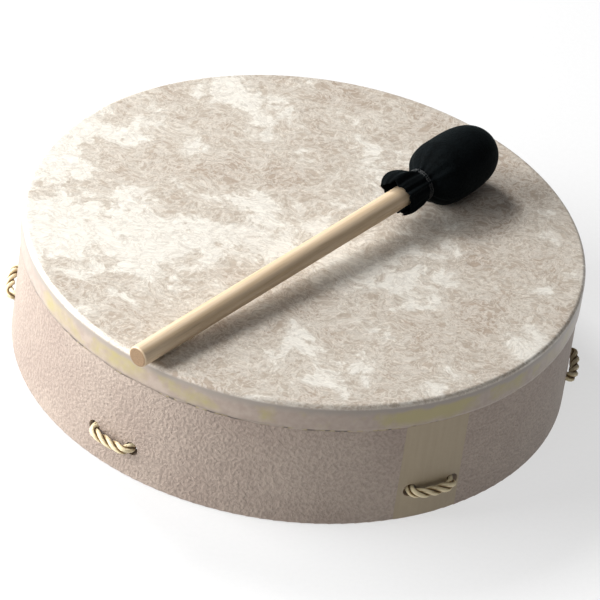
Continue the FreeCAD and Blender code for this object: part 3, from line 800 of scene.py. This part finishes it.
class DRUM_OT_twine(bpy.types.Operator):
    """Winds the twine round each pair of strands and the cord round the crossing"""
    bl_idname = "drum.twine"
    bl_label = "Seizings and lashing"

    def execute(self, context):
        size = context.scene.drum_sizes
        look = context.scene.drum_colours
        material = twisted_fibre_material("twisted_twine", look.twine_pale, look.twine_deep, 0.6)
        aside = (size.rope_diameter + size.rope_gap) / 2
        twine = size.twine_diameter / 2
        radius = size.rope_diameter / 2 + 0.15 * MM + twine
        for number in range(6):
            _, along, across, height = rope_layer(size, number % 3, number > 2)
            lines = []
            for wrap in range(WRAPS):
                reach = (SEIZING_START + twine
                         + wrap * (SEIZING_LENGTH - 2 * twine) / (WRAPS - 1))
                centre = along * reach + UP * height
                lines.append(smooth_line(slot_turn(centre, across, aside, radius),
                                         0.5 * MM, closed=True))
            mesh = rope_mesh(lines, twine, 3, 5.5 * MM, closed=True, detail=1)
            new_piece("twine_wraps_%d" % (number + 1), mesh, material, DRUM, "twine",
                      "twine_seizing_%d" % (number + 1))

        cord = size.lash_diameter / 2
        lines = []
        for plane, half_height in LASHED_PLANES:
            outward = round_axis(1, math.radians(plane), 0)
            sideways = round_axis(1, math.radians(plane + 90), 0)
            for offset in (-LASH_ASIDE, LASH_ASIDE):
                centre = sideways * offset + UP * size.hole_height
                lines.append(smooth_line(
                    lash_turn(centre, outward, LASH_REACH, half_height * MM), 0.7 * MM,
                    closed=True))
        mesh = rope_mesh(lines, cord, 3, 9.0 * MM, closed=True, detail=1)
        new_piece("crossing_lashing", mesh, material, DRUM, "lashing", "hub_lashing")
        return {"FINISHED"}


# ---- The mallet ----


def mallet_place():
    """The mallet's own axes in the frame: Z runs to the tip of the head and X points down."""
    spots = {tuple(round(value, 6) for value in vertex.co)
             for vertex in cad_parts["mallet_handle"].data.vertices}
    spots = [Vector(spot) for spot in sorted(spots)]
    middle = sum(spots, Vector()) / len(spots)
    axis = max((spot - middle for spot in spots), key=lambda arm: arm.length).normalized()
    for _ in range(3):
        reaches = [(spot - middle).dot(axis) for spot in spots]
        ends = []
        side = axis.orthogonal().normalized()
        for wanted in (min(reaches), max(reaches)):
            ring = [spot for spot, reach in zip(spots, reaches) if abs(reach - wanted) < 3 * MM]
            centre = axis * wanted + middle
            for way in (side, axis.cross(side)):
                spread = [(spot - centre).dot(way) for spot in ring]
                centre += way * (min(spread) + max(spread)) / 2
            ends.append(centre)
        axis = (ends[1] - ends[0]).normalized()
    head_low, head_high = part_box("mallet_cover")
    head = (Vector(head_low) + Vector(head_high)) / 2
    if (ends[0] - head).length < (ends[1] - head).length:
        axis = -axis
        ends.reverse()
    down = (-UP + axis * UP.dot(axis)).normalized()
    side = axis.cross(down)
    matrix = Matrix((down, side, axis)).transposed().to_4x4()
    matrix.translation = ends[1] - axis * DOWEL_INSERT
    return matrix, -(ends[1] - ends[0]).length + DOWEL_INSERT


class DRUM_OT_mallet_stick(bpy.types.Operator):
    """Finishes the mallet's dowel and the foam inside its head"""
    bl_idname = "drum.mallet_stick"
    bl_label = "Mallet dowel and core"

    def execute(self, context):
        look = context.scene.mallet_colours
        place, butt = mallet_place()
        dress("mallet_handle", birch_dowel_material(look, place, butt))
        dress("mallet_core", foam_material(look))
        return {"FINISHED"}


def bump_at(turn, middle, width):
    """A smooth bump of height one round this angle, in degrees."""
    away = (math.degrees(turn) - middle + 180) % 360 - 180
    return math.exp(-(away / width) ** 2)


def cover_profile(size):
    """The cloth's outline from the nose to the frill, as (radius, height) along the axis."""
    profile = []
    for number in range(17):
        turn = number / 16 * math.pi / 2
        profile.append((size.head_radius * math.sin(turn) ** 0.84,
                        size.head_nose * math.cos(turn) ** 0.84))
    profile[0] = (0.0, size.head_nose)
    profile[16] = (size.head_radius, 0.0)
    rear = size.head_straight
    profile += [(size.head_radius, -rear / 2)]
    last = math.acos(size.neck_radius / size.head_radius)
    for number in range(13):
        turn = number / 12 * last
        profile.append((size.head_radius * math.cos(turn),
                        -rear - size.head_radius * math.sin(turn)))
    end = profile[-1][1]
    for share in (0.2, 0.4, 0.6, 0.8, 1.0):
        profile.append((size.neck_radius, end - size.neck_length * share))
    for share in (0.12, 0.25, 0.4, 0.55, 0.7, 0.85, 1.0):
        profile.append((size.neck_radius, end - size.neck_length - size.frill_length * share))
    return profile, end


def gather(cloth, size, neck):
    """Draws the cloth into pleats towards the tie and opens the frill behind it."""
    pleated = -4 * MM
    tied = neck - size.neck_length / 2
    edge = neck - size.neck_length
    for vertex in cloth.verts:
        height = vertex.co.z
        radius = math.hypot(vertex.co.x, vertex.co.y)
        if radius < 1e-6:
            continue
        turn = math.atan2(vertex.co.y, vertex.co.x)
        out = Vector((vertex.co.x, vertex.co.y, 0)) / radius
        uneven = wander(turn, 1.3, 3.0)
        pleats = (0.6 * math.cos(11 * turn + 2.2 * uneven) + 0.4 * math.cos(17 * turn + 1.0)
                  + 0.35 * wander(turn, 4.0, 8.0 + height * 60))
        if height > edge:
            radius += 0.7 * MM * noise.noise(vertex.co / (22 * MM) + Vector((3.0, 1.0, 7.0)))
        if height < pleated:
            share = min(1.0, (pleated - height) / (pleated - neck))
            radius += 0.75 * MM * share ** 2 * pleats
        radius -= 0.55 * MM * math.exp(-((height - tied) / (2.2 * MM)) ** 2)
        if height < edge:
            # The frill has a large lobe on its upper side and a small flap opposite.
            share = (edge - height) / size.frill_length
            lobe = bump_at(turn, 132, 36)
            flap = bump_at(turn, 312, 26)
            stretch = (0.95 + 0.32 * lobe + 0.02 * flap + 0.22 * bump_at(turn, 306, 6)
                       + 0.14 * wander(turn, 2.6, 12.0) + 0.05 * wander(turn, 9.0, 14.0))
            opening = share ** 0.6 * (1 - 0.7 * share ** 3)
            flare = size.frill_flare * (0.35 + 2.9 * lobe + 1.2 * flap
                                        + 0.3 * wander(turn, 2.2, 16.0))
            folds = math.cos(6 * turn + 1.2) + 0.7 * math.cos(9 * turn + 2 * uneven)
            radius += flare * opening + 0.6 * MM * share * folds
            radius = max(radius, 9.0 * MM)
            vertex.co.z = edge - size.frill_length * share * stretch
        vertex.co.x, vertex.co.y = out.x * radius, out.y * radius


def settle(piece, pinned, cap, frames):
    """Lets the cloth swell a little, by no more than a cap and with its tied end held."""
    group = piece.vertex_groups.new(name="tied")
    for vertex in piece.data.vertices:
        group.add([vertex.index], pinned(vertex.co), "REPLACE")
    start = [vertex.co.copy() for vertex in piece.data.vertices]
    cloth = piece.modifiers.new("swelling", "CLOTH")
    cloth.settings.quality = 6
    cloth.settings.mass = 0.15
    cloth.settings.use_pressure = True
    cloth.settings.uniform_pressure_force = 4
    cloth.settings.tension_stiffness = 12
    cloth.settings.compression_stiffness = 12
    cloth.settings.shear_stiffness = 6
    cloth.settings.bending_stiffness = 0.3
    cloth.settings.vertex_group_mass = "tied"
    cloth.settings.effector_weights.gravity = 0
    cloth.collision_settings.use_self_collision = False
    scene = bpy.context.scene
    for number in range(1, frames + 1):
        scene.frame_set(number)
    depsgraph = bpy.context.evaluated_depsgraph_get()
    swollen = [vertex.co.copy() for vertex in piece.evaluated_get(depsgraph).data.vertices]
    piece.modifiers.remove(cloth)
    scene.frame_set(1)
    for vertex, before, after in zip(piece.data.vertices, start, swollen):
        move = after - before
        vertex.co = before + move * min(1.0, cap / max(move.length, 1e-9))
    piece.vertex_groups.remove(group)


class DRUM_OT_mallet_cover(bpy.types.Operator):
    """Makes the mallet's fleece cover, gathered behind the head, and the cord that ties it"""
    bl_idname = "drum.mallet_cover"
    bl_label = "Mallet cover and tie"

    def execute(self, context):
        size = context.scene.mallet_sizes
        look = context.scene.mallet_colours
        place, _ = mallet_place()
        profile, neck = cover_profile(size)
        cloth = spun(profile, 160)
        gather(cloth, size, neck)
        bmesh.ops.transform(cloth, matrix=place, verts=cloth.verts)
        bmesh.ops.recalc_face_normals(cloth, faces=cloth.faces)
        head = place.to_translation()
        axis = place.to_3x3().col[2]
        if sum((face.calc_center_median() - head).dot(face.normal) for face in cloth.faces) < 0:
            bmesh.ops.reverse_faces(cloth, faces=cloth.faces)
        cover = new_piece("fleece_cover", cloth, black_fleece_material(look), MALLET, "fleece",
                          "mallet_cover")
        held = neck + 5 * MM

        def pinned(spot):
            reach = (spot - head).dot(axis)
            return max(0.0, min(1.0, (held - reach) / (5 * MM)))

        settle(cover, pinned, cap=0.9 * MM, frames=16)
        # The soft head flattens where it rests on the film.
        rest = drum_facts()["film_top"] + 0.05 * MM
        for vertex in cover.data.vertices:
            vertex.co.z = max(vertex.co.z, rest)
        wall = cover.modifiers.new("thickness", "SOLIDIFY")
        wall.thickness = size.cloth_thickness
        wall.offset = -1
        smooth = cover.modifiers.new("smooth", "SUBSURF")
        smooth.levels = smooth.render_levels = 1

        lines = []
        radius = size.neck_radius + 0.1 * MM
        for reach in (-0.5, 0.5):
            middle = neck - size.neck_length / 2 + reach * 2 * MM
            turn_points = []
            for number in range(16):
                turn = number / 16 * TURN
                out = radius * (1 + 0.02 * wander(turn, 2.0, 20.0 + reach))
                lean = 0.35 * MM * math.sin(turn + reach)
                turn_points.append(place @ Vector((out * math.cos(turn), out * math.sin(turn),
                                                   middle + lean)))
            lines.append(smooth_line(turn_points, 0.5 * MM, closed=True))
        mesh = rope_mesh(lines, size.tie_diameter / 2, 2, 3.2 * MM, closed=True, detail=1)
        new_piece("neck_cord", mesh, waxed_cord_material(look), MALLET, "tie", "neck_tie")
        return {"FINISHED"}


# ---- The stage ----


class DRUM_OT_stage(bpy.types.Operator):
    """Sets the pale floor, the soft studio light and the camera"""
    bl_idname = "drum.stage"
    bl_label = "Floor, light and camera"

    def execute(self, context):
        scene = context.scene
        paper = bmesh.new()
        bmesh.ops.create_grid(paper, x_segments=8, y_segments=8, size=30.0)
        bmesh.ops.translate(paper, vec=(0, 0, -0.2 * MM), verts=paper.verts)
        mesh = bpy.data.meshes.new("studio_floor")
        paper.to_mesh(mesh)
        paper.free()
        mesh.materials.append(studio_paper_material())
        floor = bpy.data.objects.new("studio_floor", mesh)
        context.collection.objects.link(floor)

        sky = bpy.data.worlds.new("soft_room")
        scene.world = sky
        sky.use_nodes = True
        room = sky.node_tree.nodes["Background"]
        room.inputs["Color"].default_value = opaque(linear("#FBFBFF"))
        room.inputs["Strength"].default_value = 0.08
        self.softbox(context, "back_key", (-0.8, 1.0, 1.5), 0.5, 22)
        self.softbox(context, "side_softbox", (-1.5, -0.16, 0.62), 1.4, 64)
        self.softbox(context, "overhead_fill", (-0.35, -1.3, 1.9), 1.3, 8)

        radius = drum_facts()["film"]
        # The camera looks down at the drum and is rolled, so that the drum seems to lean.
        pitch = math.radians(35.794)
        roll = math.radians(8.462)
        look = Vector((0, math.cos(pitch), -math.sin(pitch)))
        level = Vector((1, 0, 0))
        above = level.cross(look)
        right = level * math.cos(roll) + above * math.sin(roll)
        over = above * math.cos(roll) - level * math.sin(roll)
        # It is 20 drum radii away, aimed a little right of the origin and above it.
        spot = (look * -20 + right * 0.04175 + over * 0.17972) * radius
        camera = bpy.data.cameras.new("camera")
        camera.lens = 335
        camera.sensor_width = 36
        camera.clip_end = 50
        holder = bpy.data.objects.new("camera", camera)
        context.collection.objects.link(holder)
        matrix = Matrix((right, over, -look)).transposed().to_4x4()
        matrix.translation = spot
        holder.matrix_world = matrix
        scene.camera = holder
        scene.view_settings.view_transform = "Standard"
        return {"FINISHED"}

    def softbox(self, context, name, place, width, power):
        """A square softbox that faces the drum."""
        light = bpy.data.lights.new(name, "AREA")
        light.shape = "SQUARE"
        light.size = width
        light.energy = power
        holder = bpy.data.objects.new(name, light)
        context.collection.objects.link(holder)
        place = Vector(place)
        holder.location = place
        holder.rotation_euler = (-place + UP * 0.05).to_track_quat("-Z", "Y").to_euler()


# ---- The panel ----

STEPS = ("hoop", "film", "ropes", "twine", "mallet_stick", "mallet_cover", "stage")
GROUPS = {"drum_sizes": DrumSizes, "drum_colours": DrumColours,
          "mallet_sizes": MalletSizes, "mallet_colours": MalletColours}


class DRUM_PT_pieces(bpy.types.Panel):
    """Lists the drum's sizes, its colours and the pieces that it is made of"""
    bl_idname = "DRUM_PT_pieces"
    bl_label = "Frame Drum"
    bl_space_type = "VIEW_3D"
    bl_region_type = "UI"
    bl_category = "Frame Drum"

    def draw(self, context):
        for group in GROUPS:
            values = getattr(context.scene, group)
            box = self.layout.box()
            for name in values.__annotations__:
                box.prop(values, name)
        for step in STEPS:
            self.layout.operator("drum." + step)


CLASSES = (*GROUPS.values(), DRUM_OT_hoop, DRUM_OT_film, DRUM_OT_ropes, DRUM_OT_twine,
           DRUM_OT_mallet_stick, DRUM_OT_mallet_cover, DRUM_OT_stage, DRUM_PT_pieces)


def register():
    for kind in CLASSES:
        bpy.utils.register_class(kind)
    for name, group in GROUPS.items():
        setattr(bpy.types.Scene, name, PointerProperty(type=group))


def unregister():
    for name in GROUPS:
        delattr(bpy.types.Scene, name)
    for kind in reversed(CLASSES):
        bpy.utils.unregister_class(kind)


def main():
    """Builds every piece and the stage."""
    register()
    for step in STEPS:
        getattr(bpy.ops.drum, step)()


if __name__ == "__main__":
    main()
